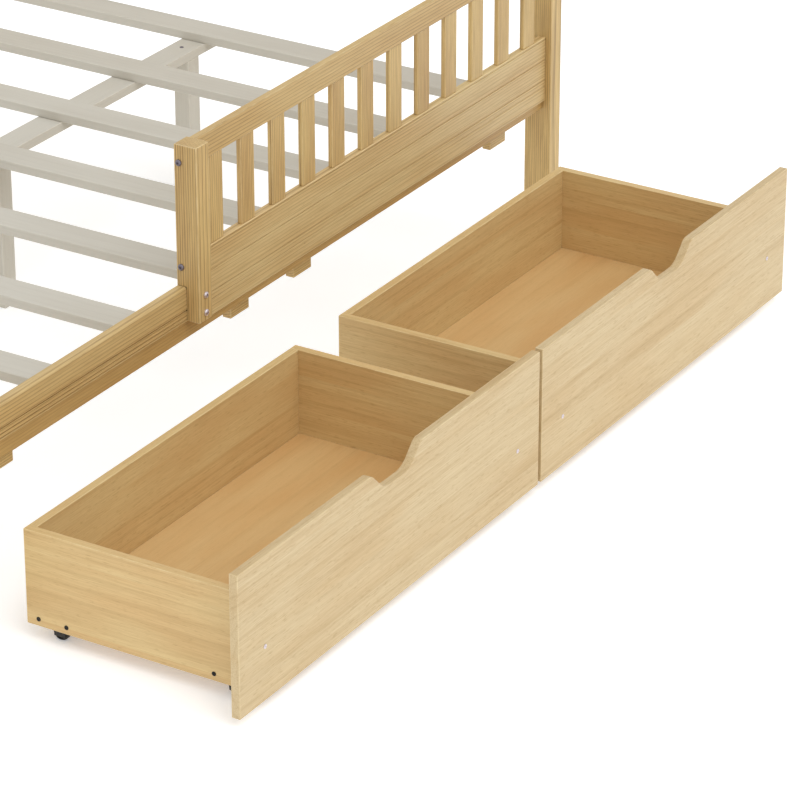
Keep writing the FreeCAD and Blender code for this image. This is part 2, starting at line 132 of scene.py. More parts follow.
def per_metre(along_mm: float, across_mm: float) -> tuple[float, float, float]:
    """How often a pattern repeats in a metre, along the grain and both ways across it."""
    return 1 / (along_mm * MM), 1 / (across_mm * MM), 1 / (across_mm * MM)


@dataclass(frozen=True)
class Mottle:
    """A noise pattern in the timber, with the size of its cells in millimetres."""

    along: float
    across: float
    detail: float        # how many finer layers it has
    start: float = 0.0   # noise level where it starts to show
    full: float = 1.0    # noise level where it shows fully


class Pattern(Enum):
    """Patterns in the timber. Real fibres and flecks are finer: these are coarse enough to show."""

    WANDER = Mottle(454.5, 71.43, 2.0)                # how the growth rings wander
    FIBRE = Mottle(71.43, 1.5385, 3.0, 0.35, 0.70)    # streaks of fibre
    FLECK = Mottle(16.667, 2.381, 1.0, 0.60, 0.74)    # short dark flecks
    PATCH = Mottle(333.3, 76.92, 2.0, 0.40, 0.66)     # broad warmer patches


# Darkness across one growth ring, by share of its width: it darkens slowly and ends sharply.
RING_PROFILE = ((0.0, 0.0), (0.58, 0.10), (0.86, 1.0), (0.96, 0.0))
# How far apart the glued strips are taken from the timber, in metres: along and across.
STRIP_JUMP = (4.0, 0.09, 0.06)


@dataclass(frozen=True)
class Wood:
    """A timber and its surface. Lengths are in millimetres."""

    name: str
    early: str             # colour of the pale early wood
    late: str              # colour of the dark late-wood lines
    warm: str              # colour of the broad warmer patches
    ring_mm: float         # spacing of the growth rings across the board
    ring_depth: float      # how far the late wood shows, 0 to 1
    fibre_depth: float     # how far the fine fibres show, 0 to 1
    fleck_depth: float     # how far the short dark flecks show, 0 to 1
    roughness: float
    edge: str = "E6D3A6"   # colour of the sanded edges, with their painted highlight
    edge_depth: float = 0.55
    strip_mm: float = 0.0  # width of the glued strips, 0 for a solid board
    coat: float = 0.12
    aside_mm: float = 0.0  # how far the pith lies to one side: 150 is quarter sawn
    edge_mm: float = 2.0   # where the sanded edge's paler painted highlight starts to show
    edge_full_mm: float = 0.5
    edge_highlight_patch_mm: float = 26.316  # size of the patches in which the sanding and its painted highlight are uneven
    warm_depth: float = 0.75
    wander_mm: float = 5.0  # how far the growth rings wander
    knot: str = "6E4A22"
    knot_mm: float = 1.6   # radius of a pin knot
    knot_depth: float = 0.65
    knot_spacing_mm: tuple[float, float] = (200.0, 111.11)  # along the grain and across it
    relief: float = 0.25   # how strongly the grain stands up, 0 to 1
    relief_mm: float = 0.3
    sheen: tuple[float, float] = (-0.07, 0.09)  # how much the fibres change the roughness
    ior: float = 1.5
    specular: float = 0.35
    coat_roughness: float = 0.35

    def build(self) -> bpy.types.Material:
        """Make the material.

        Each layer of colour is mixed over the one before by its own mask: warm patches, late
        wood, fibres, flecks, pin knots, and the sanded edges with their painted highlight.

        Returns:
            The finished material.
        """
        material, tree = empty_material(self.name)
        grain = add(tree, "Attribute", {}, attribute_name="grain").outputs["Vector"]
        if self.strip_mm:
            grain = self.in_strips(tree, grain)
        noise: dict[Pattern, bpy.types.Node] = {}
        for pattern in Pattern:
            mottle = pattern.value
            place = add(tree, "VectorMath", {0: grain, 1: per_metre(mottle.along, mottle.across)},
                        operation="MULTIPLY").outputs[0]
            noise[pattern] = add(tree, "TexNoise", {"Vector": place, "Scale": 1.0,
                                                    "Detail": mottle.detail})
        masks: dict[Pattern, Socket] = {}
        for pattern, depth in ((Pattern.PATCH, self.warm_depth), (Pattern.FIBRE, self.fibre_depth),
                               (Pattern.FLECK, self.fleck_depth)):
            masks[pattern] = add(tree, "MapRange", {
                "Value": noise[pattern].outputs[0], "From Min": pattern.value.start,
                "From Max": pattern.value.full, "To Max": depth}).outputs[0]
        saw = self.ring_saw(tree, grain, noise[Pattern.WANDER].outputs["Color"])
        late = self.late_mask(tree, saw, noise[Pattern.PATCH].outputs[0])
        layers = ((masks[Pattern.PATCH], self.warm), (late, self.late),
                  (masks[Pattern.FIBRE], self.late), (masks[Pattern.FLECK], self.late),
                  (self.knot_mask(tree, grain), self.knot), (self.edge_highlight_mask(tree), self.edge))
        colour: Any = linear(self.early)
        for mask, shade in layers:
            colour = add(tree, "MixRGB", {"Fac": mask, "Color1": colour,
                                          "Color2": linear(shade)}).outputs[0]
        fibre = noise[Pattern.FIBRE].outputs[0]
        height = add(tree, "Math", {0: saw, 1: fibre}, operation="ADD").outputs[0]
        bump = add(tree, "Bump", {"Height": height, "Strength": self.relief,
                                  "Distance": self.relief_mm * MM})
        rough = add(tree, "MapRange", {"Value": fibre, "To Min": self.roughness + self.sheen[0],
                                       "To Max": self.roughness + self.sheen[1]}).outputs[0]
        surface = add(tree, "BsdfPrincipled", {
            "Base Color": colour, "Roughness": rough, "Normal": bump.outputs[0],
            "IOR": self.ior, "Coat Weight": self.coat, "Coat Roughness": self.coat_roughness,
            "Specular IOR Level": self.specular})
        out = add(tree, "OutputMaterial", {})
        tree.links.new(surface.outputs[0], out.inputs["Surface"])
        return material

    def ring_saw(self, tree: Tree, grain: Socket, wander: Socket) -> Socket:
        """Count across the growth rings.

        The rings are cylinders round a pith that lies outside the board. The distance to it,
        divided by the ring spacing, gives a sawtooth that rises from 0 to 1 across each ring.

        Args:
            tree: The material's node tree.
            grain: The place in the timber.
            wander: Noise that bends the rings.

        Returns:
            The sawtooth.
        """
        centred = add(tree, "VectorMath", {0: wander, 1: (0.5, 0.5, 0.5)},
                      operation="SUBTRACT").outputs[0]
        reach = self.wander_mm * MM
        shift = add(tree, "VectorMath", {0: centred, 1: (0.0, reach, reach)},
                    operation="MULTIPLY").outputs[0]
        bent = add(tree, "VectorMath", {0: grain, 1: shift}, operation="ADD").outputs[0]
        across = add(tree, "VectorMath", {0: bent, 1: (0.0, 1.0, 1.0)}, operation="MULTIPLY")
        radius = add(tree, "VectorMath", {0: across.outputs[0]}, operation="LENGTH")
        turns = add(tree, "Math", {0: radius.outputs["Value"], 1: 1 / (self.ring_mm * MM)},
                    operation="MULTIPLY").outputs[0]
        return add(tree, "Math", {0: turns}, operation="FRACT").outputs[0]

    def late_mask(self, tree: Tree, saw: Socket, patch: Socket) -> Socket:
        """Find the dark late wood, which is stronger in some patches than in others.

        Args:
            tree: The material's node tree.
            saw: The sawtooth across each growth ring.
            patch: The noise of the broad patches.

        Returns:
            How far the late wood shows.
        """
        ring = add(tree, "ValToRGB", {"Fac": saw})
        stops = ring.color_ramp.elements
        while len(stops) < len(RING_PROFILE):
            stops.new(1.0)
        for stop, (share, dark) in zip(stops, RING_PROFILE):
            stop.position, stop.color = share, (dark, dark, dark, 1)
        strength = add(tree, "Math", {0: ring.outputs["Color"], 1: self.ring_depth},
                       operation="MULTIPLY").outputs[0]
        swing = add(tree, "MapRange", {"Value": patch, "From Min": 0.3, "From Max": 0.7,
                                       "To Min": 0.45, "To Max": 1.2}).outputs[0]
        return add(tree, "Math", {0: strength, 1: swing}, operation="MULTIPLY").outputs[0]

    def knot_mask(self, tree: Tree, grain: Socket) -> Socket:
        """Find the pin knots: a spot round the middle of each cell of a Voronoi pattern.

        Args:
            tree: The material's node tree.
            grain: The place in the timber.

        Returns:
            How far a knot shows.
        """
        place = add(tree, "VectorMath", {0: grain, 1: per_metre(*self.knot_spacing_mm)},
                    operation="MULTIPLY").outputs[0]
        cells = add(tree, "TexVoronoi", {"Vector": place, "Scale": 1.0})
        return add(tree, "MapRange", {
            "Value": cells.outputs["Distance"], "From Min": self.knot_mm / self.knot_spacing_mm[1],
            "From Max": 0.0, "To Max": self.knot_depth}).outputs[0]

    def in_strips(self, tree: Tree, grain: Socket) -> Socket:
        """Give each glued strip its own stretch of timber, moved by noise on the strip's number.

        Args:
            tree: The material's node tree.
            grain: The place in the timber, as for a solid board.

        Returns:
            The place in the timber that each strip was cut from.
        """
        parts = add(tree, "SeparateXYZ", {0: grain})
        strip = add(tree, "Math", {0: parts.outputs[1], 1: 1 / (self.strip_mm * MM)},
                    operation="MULTIPLY").outputs[0]
        number = add(tree, "Math", {0: strip}, operation="FLOOR").outputs[0]
        noise = add(tree, "TexWhiteNoise", {"W": number}, noise_dimensions="1D").outputs["Color"]
        jump = add(tree, "VectorMath", {0: noise, 1: STRIP_JUMP}, operation="MULTIPLY")
        return add(tree, "VectorMath", {0: grain, 1: jump.outputs[0]}, operation="ADD").outputs[0]

    def edge_highlight_mask(self, tree: Tree) -> Socket:
        """Find the sanded edges, which get a painted highlight.

        The distance to each pair of faces is half the size less the distance from the middle.
        A point is near an edge where two of the three distances are small, so the mask uses the
        smallest of the three pairwise maxima.

        Args:
            tree: The material's node tree.

        Returns:
            How far the painted edge highlight shows.
        """
        local = add(tree, "Attribute", {}, attribute_name="local").outputs["Vector"]
        half = add(tree, "Attribute", {}, attribute_name="half").outputs["Vector"]
        size = add(tree, "VectorMath", {0: local}, operation="ABSOLUTE").outputs[0]
        gap = add(tree, "VectorMath", {0: half, 1: size}, operation="SUBTRACT").outputs[0]
        x, y, z = add(tree, "SeparateXYZ", {0: gap}).outputs
        pairs = [add(tree, "Math", {0: a, 1: b}, operation="MAXIMUM").outputs[0]
                 for a, b in ((x, y), (y, z), (z, x))]
        first = add(tree, "Math", {0: pairs[0], 1: pairs[1]}, operation="MINIMUM").outputs[0]
        nearest = add(tree, "Math", {0: first, 1: pairs[2]}, operation="MINIMUM").outputs[0]
        near = add(tree, "MapRange", {"Value": nearest, "From Min": self.edge_mm * MM,
                                      "From Max": self.edge_full_mm * MM,
                                      "To Max": self.edge_depth}).outputs[0]
        # Noise patches make the sanding and its painted highlight uneven.
        patch_noise = add(tree, "TexNoise", {"Vector": local, "Scale": 1 / (self.edge_highlight_patch_mm * MM),
                                      "Detail": 2.0}).outputs[0]
        sanded_highlight = add(tree, "MapRange", {"Value": patch_noise, "From Min": 0.35, "From Max": 0.65,
                                        "To Min": 0.25}).outputs[0]
        return add(tree, "Math", {0: near, 1: sanded_highlight}, operation="MULTIPLY").outputs[0]


@dataclass(frozen=True)
class Hard:
    """A metal or a plastic, with fine scratches or a moulded texture. Lengths in millimetres."""

    name: str
    base: str              # colour where it is whole
    worn: str              # colour where it is worn
    metallic: float
    roughness: float
    grit_mm: float         # size of the scratches or of the moulded texture
    wear_mm: float = 6.25  # size of the worn patches
    worn_depth: float = 0.6
    relief: float = 0.15
    relief_mm: float = 0.05
    sheen: tuple[float, float] = (-0.08, 0.10)  # how much the grit changes the roughness

    def build(self) -> bpy.types.Material:
        """Make the material, its wear and grit read from Object coordinates.

        Returns:
            The finished material.
        """
        material, tree = empty_material(self.name)
        place = add(tree, "TexCoord", {}).outputs["Object"]
        grit = add(tree, "TexNoise", {"Vector": place, "Scale": 1 / (self.grit_mm * MM),
                                      "Detail": 4.0}).outputs[0]
        patch_noise = add(tree, "TexNoise", {"Vector": place, "Scale": 1 / (self.wear_mm * MM),
                                      "Detail": 2.0}).outputs[0]
        amount = add(tree, "MapRange", {"Value": patch_noise, "From Min": 0.45, "From Max": 0.70,
                                        "To Max": self.worn_depth}).outputs[0]
        colour = add(tree, "MixRGB", {"Fac": amount, "Color1": linear(self.base),
                                      "Color2": linear(self.worn)}).outputs[0]
        rough = add(tree, "MapRange", {"Value": grit, "To Min": self.roughness + self.sheen[0],
                                       "To Max": self.roughness + self.sheen[1]}).outputs[0]
        bump = add(tree, "Bump", {"Height": grit, "Strength": self.relief,
                                  "Distance": self.relief_mm * MM})
        surface = add(tree, "BsdfPrincipled", {
            "Base Color": colour, "Metallic": self.metallic, "Roughness": rough,
            "Normal": bump.outputs[0]})
        out = add(tree, "OutputMaterial", {})
        tree.links.new(surface.outputs[0], out.inputs["Surface"])
        return material


class Finish(Enum):
    """Every finish on the bed."""

    # Clear-lacquered pine, quarter sawn: close straight dark lines, a low satin shine.
    # The rings of every pine here are wider than the 1 to 3 mm that is usual, so that they show.
    POST_PINE = Wood("lacquered_pine_post", "DABD80", "74542A", "CFAC72", 4.6, 0.80, 0.38, 0.10,
                     0.46, aside_mm=150.0)
    # The same pine for the rails.
    RAIL_PINE = Wood("lacquered_pine_rail", "D2B780", "7E5E2E", "C8A66C", 6.2, 0.62, 0.32, 0.14,
                     0.46, aside_mm=150.0)
    # Pine strips glued edge to edge, each from its own stretch of timber.
    BOARD_PINE = Wood("lacquered_pine_glued_board", "D6BE8A", "846434", "CDAD76", 6.2, 0.52, 0.28,
                      0.12, 0.46, strip_mm=43.0, aside_mm=150.0)
    # The ledgers' pine: redder and darker as painted shade on their recessed band, with pale sanded
    # edges that carry a strong painted highlight.
    LEDGER_PINE = Wood("lacquered_ledger_pine_painted_shade", "C4A268", "80602F", "BB965A", 6.0, 0.40, 0.30, 0.12,
                       0.46, edge="DCC28C", edge_depth=0.8, aside_mm=150.0)
    # Pale, plain-grained pine of the drawer fronts: fine short flecks and few growth lines.
    FRONT_PINE = Wood("lacquered_pine_front", "D0BB92", "9C7A46", "C9AE80", 15.0, 0.24, 0.32, 0.36,
                      0.48, edge="E4D2A6", strip_mm=62.0)
    # The same pine for the sides and backs of the drawers, yellower as painted warm shade inside
    # the drawers.
    BOX_PINE = Wood("lacquered_pine_box_painted_shade", "DAC08A", "9E7844", "D2AF78", 15.0, 0.22, 0.28, 0.30,
                    0.48, edge="E4D2A2", strip_mm=62.0)
    # Rotary-cut ply of the drawer bottom: warm and even, under clear lacquer.
    BASE_PLY = Wood("birch_ply_base", "D4B27C", "A67F49", "CFA56C", 28.0, 0.14, 0.14, 0.14, 0.55)
    # Unlacquered slats, greyed by a pale wash: hardly any grain.
    WASHED_SLAT = Wood("grey_washed_slat", "C8C4B9", "A39E92", "C2BDB1", 9.0, 0.10, 0.11, 0.05,
                       0.68, edge="DCD8CC", coat=0.0)
    # Zinc-plated steel, tumbled, with a faint violet passivation.
    ZINC = Hard("zinc_plated_steel", "E0D8DE", "B4A8B2", 1.0, 0.36, 0.6)
    # The same zinc handled and dulled, on the bolts of the frame that don't lie on Y.
    DULL_ZINC = Hard("dulled_zinc_bolt", "8C8690", "5E5862", 1.0, 0.42, 0.6)
    # Steel screws with a black phosphate coat, browner where it is worn.
    PHOSPHATE = Hard("black_phosphate_screw", "2B2A28", "5A564F", 0.8, 0.48, 0.5)
    # Pressed steel sheet under a black powder coat: a dull, even skin.
    COATED_SHEET = Hard("black_coated_sheet", "1D1C1B", "33302D", 0.0, 0.48, 1.5)
    # Moulded nylon wheels: near black, slightly scuffed.
    NYLON = Hard("black_moulded_nylon", "191817", "2E2C2A", 0.0, 0.50, 0.8)


class Materials:
    """Builds each finish once."""

    def __init__(self) -> None:
        """Start with nothing built."""
        self.made: dict[Finish, bpy.types.Material] = {}

    def get(self, finish: Finish) -> bpy.types.Material:
        """The material of a finish, made the first time that it is asked for.

        Args:
            finish: The finish.

        Returns:
            Its material.
        """
        if finish not in self.made:
            self.made[finish] = finish.value.build()
        return self.made[finish]


# ------------------------------------------------------------------ shapes


@dataclass
class Shape:
    """Points and faces of one closed solid, with the box of the board that it belongs to."""

    points: Array
    faces: list[list[int]]
    low: Array
    high: Array


def solids(node: str) -> list[tuple[Array, Array]]:
    """Find the box of each separate solid in a CAD node.

    Points that lie together count as one, and each triangle passes the lowest label among its
    corners to all three, until nothing changes. What shares a label is one solid.

    Args:
        node: The CAD node's name.

    Returns:
        Lowest and highest corner of each solid, in order of X, then Y, then Z.
    """
    mesh = frame["nodes"][node].data
    mesh.calc_loop_triangles()
    points = np.zeros(len(mesh.vertices) * 3)
    mesh.vertices.foreach_get("co", points)
    points = points.reshape(-1, 3)
    triangles = np.zeros(len(mesh.loop_triangles) * 3, dtype=np.int32)
    mesh.loop_triangles.foreach_get("vertices", triangles)
    _, shared = np.unique(np.round(points, SAME_PLACE), axis=0, return_inverse=True)
    corners = shared.reshape(-1)[triangles].reshape(-1, 3)
    labels = np.arange(corners.max() + 1)
    settled = False
    while not settled:
        before = labels.copy()
        lowest = labels[corners].min(axis=1)
        for corner in range(3):
            np.minimum.at(labels, corners[:, corner], lowest)
        settled = bool((labels == before).all())
    owner = labels[shared.reshape(-1)]
    boxes = [(points[owner == label].min(axis=0), points[owner == label].max(axis=0))
             for label in np.unique(owner)]
    return sorted(boxes, key=lambda box: tuple(np.round(box[0], SAME_ROW)))


def rounded(corners: Sequence[tuple[float, float, float]], steps: int = 3) -> Array:
    """Round the corners of a closed outline.

    Each arc's centre is on the corner's bisector, its radius over the sine of half the corner's
    angle from the corner. Its points turn evenly from one tangent point to the other.

    Args:
        corners: Each corner's two coordinates and its radius, in metres.
        steps: Points on each arc, less one.

    Returns:
        The outline's points, anticlockwise.
    """
    table = np.array(corners, dtype=float)
    spot, radius = table[:, :2], table[:, 2:]
    to_last = np.roll(spot, 1, axis=0) - spot
    to_next = np.roll(spot, -1, axis=0) - spot
    to_last /= np.linalg.norm(to_last, axis=1, keepdims=True)
    to_next /= np.linalg.norm(to_next, axis=1, keepdims=True)
    half = np.arccos(np.clip((to_last * to_next).sum(axis=1, keepdims=True), -1, 1)) / 2
    middle = to_last + to_next
    middle /= np.linalg.norm(middle, axis=1, keepdims=True)
    centre = spot + middle * radius / np.sin(half)
    start = (spot + to_last * radius / np.tan(half) - centre) / radius
    end = (spot + to_next * radius / np.tan(half) - centre) / radius
    turn = (np.pi - 2 * half)[:, :, None]
    share = np.linspace(0, 1, steps + 1)[None, :, None]
    arc = (np.sin((1 - share) * turn) * start[:, None] + np.sin(share * turn) * end[:, None])
    outline = (centre[:, None] + radius[:, None] * arc / np.sin(turn)).reshape(-1, 2)
    after = np.roll(outline, -1, axis=0)
    area = (outline[:, 0] * after[:, 1] - after[:, 0] * outline[:, 1]).sum()
    return outline if area > 0 else outline[::-1]


def slab(outline: Array, axis: Axis, start: float, end: float, ease: float,
         steps: int = 3) -> Shape:
    """Carry an outline along an axis, with its two ends eased by a quarter round.

    At an angle t of the quarter round, from 0 at the end face to a right angle, the ring lies
    ease (1 - cos t) in from the end and is drawn in by ease (1 - sin t), along the mitre of its
    two neighbouring sides.

    Args:
        outline: Points in the plane across the axis: Y and Z, X and Z, or X and Y.
        axis: The axis that the outline is carried along.
        start: Where the slab starts on the axis.
        end: Where it ends.
        ease: Radius of the eased ends.
        steps: Rings on each quarter round, less one.

    Returns:
        The closed slab.
    """
    side = np.roll(outline, -1, axis=0) - outline
    side /= np.linalg.norm(side, axis=1, keepdims=True)
    outward = np.stack([side[:, 1], -side[:, 0]], axis=1)
    before = np.roll(outward, 1, axis=0)
    mitre = (outward + before) / (1 + (outward * before).sum(axis=1, keepdims=True))
    angle = np.linspace(0, np.pi / 2, steps + 1)
    depth, inset = ease * (1 - np.cos(angle)), ease * (1 - np.sin(angle))
    level = np.concatenate([start + depth, end - depth[::-1]])
    drawn = np.concatenate([inset, inset[::-1]])
    flat = outline[None] - drawn[:, None, None] * mitre[None]
    rings, count = flat.shape[:2]
    across = [place for place in range(3) if place != axis.value]
    points = np.zeros((rings, count, 3))
    points[:, :, across[0]] = flat[:, :, 0]
    points[:, :, across[1]] = flat[:, :, 1]
    points[:, :, axis.value] = level[:, None]
    points = points.reshape(-1, 3)
    return Shape(points, grid_faces(rings, count) + end_caps(rings, count),
                 points.min(axis=0), points.max(axis=0))


def grid_faces(rings: int, count: int, closed: bool = False) -> list[list[int]]:
    """Four-sided faces between neighbouring rings of count points each.

    Args:
        rings: Number of rings.
        count: Points on each ring.
        closed: Whether the last ring joins the first.

    Returns:
        The faces.
    """
    row = np.arange(rings if closed else rings - 1)[:, None]
    place = np.arange(count)[None, :]
    after, above = (place + 1) % count, (row + 1) % rings
    return np.stack([row * count + place, row * count + after,
                     above * count + after, above * count + place], axis=-1).reshape(-1, 4).tolist()


def end_caps(rings: int, count: int) -> list[list[int]]:
    """The two faces that close a stack of rings."""
    return [list(range(count))[::-1], list(range((rings - 1) * count, rings * count))]


def board(low: Array, high: Array, axis: Axis, ease: float) -> Shape:
    """A plain board, its rectangular section carried along its grain with all its edges eased.

    Args:
        low: Lowest corner of the board.
        high: Its highest corner.
        axis: The axis that the grain follows.
        ease: Radius of the eased edges.

    Returns:
        The board.
    """
    a, b = [place for place in range(3) if place != axis.value]
    radius = SECTION_EASE * ease
    outline = rounded([(low[a], low[b], radius), (high[a], low[b], radius),
                       (high[a], high[b], radius), (low[a], high[b], radius)])
    return slab(outline, axis, low[axis.value], high[axis.value], ease)


def turned(profile: Sequence[tuple[float, float]], centre: Array, axis: Axis, facing: float,
           sides: int = 32, closed: bool = False, hex_rings: int = 0) -> Shape:
    """Turn a profile round an axis.

    A ring's radius is the profile's radius at every angle, but the first hex_rings rings follow
    a hexagon: radius times cos 30 degrees over cos of the angle from the nearest flat's middle.

    Args:
        profile: Radius and height of each ring, in metres.
        centre: Where height 0 lies on the axis.
        axis: The axis of turning.
        facing: 1 or -1: which way height counts.
        sides: Points on each ring.
        closed: Whether the profile is a loop, as on a wheel with a bore.
        hex_rings: How many of the first rings are hexagons.

    Returns:
        The closed solid.
    """
    table = np.array(profile)
    angle = np.linspace(0, 2 * np.pi, sides, endpoint=False)
    flat = np.cos(np.pi / 6) / np.cos(np.mod(angle, np.pi / 3) - np.pi / 6)
    wide = np.where((np.arange(len(table)) < hex_rings)[:, None], flat[None], 1.0) * table[:, :1]
    a, b = [place for place in range(3) if place != axis.value]
    points = np.zeros((len(table), sides, 3))
    points[:, :, a] = wide * np.cos(angle)
    points[:, :, b] = wide * np.sin(angle)
    points[:, :, axis.value] = facing * table[:, 1:]
    points = points.reshape(-1, 3) + centre
    faces = grid_faces(len(table), sides, closed)
    if not closed:
        faces += end_caps(len(table), sides)
    return Shape(points, faces, points.min(axis=0), points.max(axis=0))


# ------------------------------------------------------------------ pieces


@dataclass
class Workshop:
    """Turns shapes into finished pieces on the frame's bodies."""

    materials: Materials = field(default_factory=Materials)
    log_half: float = 3.0                       # metres of timber either way along the grain
    pith_half: float = 60 * MM                  # how far the pith may lie to either side
    pith_below: tuple[float, float] = (25.0 * MM, 95.0 * MM)  # how far it lies to the third side

    def make(self, node: str, shapes: list[Shape], finish: Finish, grain: Axis,
             part: str = "piece", slot: str = "") -> None:
        """Make a piece that stands for a CAD node, on the same body.

        Each board gets its own stretch of timber: its grain coordinates start at a place drawn
        from a generator that is seeded by the node's name and the board's number.

        Args:
            node: The CAD node that the piece replaces.
            shapes: The solids of the piece.
            finish: What it is made of.
            grain: The axis that the grain follows.
            part: The end of the piece's name, where a node has more pieces than one.
            slot: The record's material slot, where it isn't the node's own. Not used.
        """
        starts = np.cumsum([0] + [len(shape.points) for shape in shapes])
        faces = [[index + int(start) for index in face]
                 for shape, start in zip(shapes, starts) for face in shape.faces]
        points = np.concatenate([shape.points for shape in shapes])
        mesh = bpy.data.meshes.new(f"{node}_{part}")
        mesh.from_pydata(points.tolist(), [], faces)
        aside = finish.value.aside_mm if isinstance(finish.value, Wood) else 0.0
        local, half, timber = [], [], []
        for number, shape in enumerate(shapes):
            size = shape.high - shape.low
            others = sorted((place for place in range(3) if place != grain.value),
                            key=lambda place: -size[place])
            order = [grain.value, *others]
            inside = (shape.points - (shape.low + shape.high) / 2)[:, order]
            random = np.random.default_rng(zlib.crc32(f"{node}{number}".encode()))
            near, far = self.pith_below
            offset = random.uniform([-self.log_half, -self.pith_half, near],
                                    [self.log_half, self.pith_half, far])
            offset[1] += aside * MM
            local.append(inside)
            half.append(np.repeat((size / 2)[order][None], len(inside), axis=0))
            timber.append(inside + offset)
        for name, values in (("local", local), ("half", half), ("grain", timber)):
            store = mesh.attributes.new(name, "FLOAT_VECTOR", "POINT")
            store.data.foreach_set("vector", np.concatenate(values).astype(np.float32).ravel())
        self.face_outwards(mesh)
        mesh.materials.append(self.materials.get(finish))
        made = bpy.data.objects.new(f"{node}_{part}", mesh)
        bpy.context.scene.collection.objects.link(made)
        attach(made, self.body_of(node))
        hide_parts(node)
        log.info("%s: %d solids, %d faces", node, len(shapes), len(faces))

    def boards(self, node: str, finish: Finish, grain: Axis, ease: float = EASE) -> None:
        """Make every solid of a node as a plain board with eased edges."""
        shapes = [board(low, high, grain, ease) for low, high in solids(node)]
        self.make(node, shapes, finish, grain)

    def dress(self, node: str, finish: Finish) -> None:
        """Keep a CAD node's shape and give it a finish.

        Args:
            node: The CAD node.
            finish: What it is made of.
        """
        mesh = frame["nodes"][node]
        for place in mesh.material_slots:
            place.material = self.materials.get(finish)
        log.info("%s: kept, %s", node, finish.value.name)

    @staticmethod
    def face_outwards(mesh: bpy.types.Mesh) -> None:
        """Turn every face of a closed mesh outwards.

        Args:
            mesh: The mesh, which is changed in place.
        """
        work = bmesh.new()
        work.from_mesh(mesh)
        bmesh.ops.recalc_face_normals(work, faces=work.faces)
        work.to_mesh(mesh)
        work.free()

    @staticmethod
    def body_of(node: str) -> str:
        """The body that a CAD node belongs to."""
        bodies = frame["record"]["behaviour"]["bodies"]
        return next(name for name, nodes in bodies.items() if node in nodes)

    @staticmethod
    def slot_of(node: str) -> str:
        """The record's material slot of a CAD node."""
        return next(part["material_slot"] for part in frame["record"]["subparts"]
                    if part["node"] == node)


# ------------------------------------------------------------------ sub-assemblies


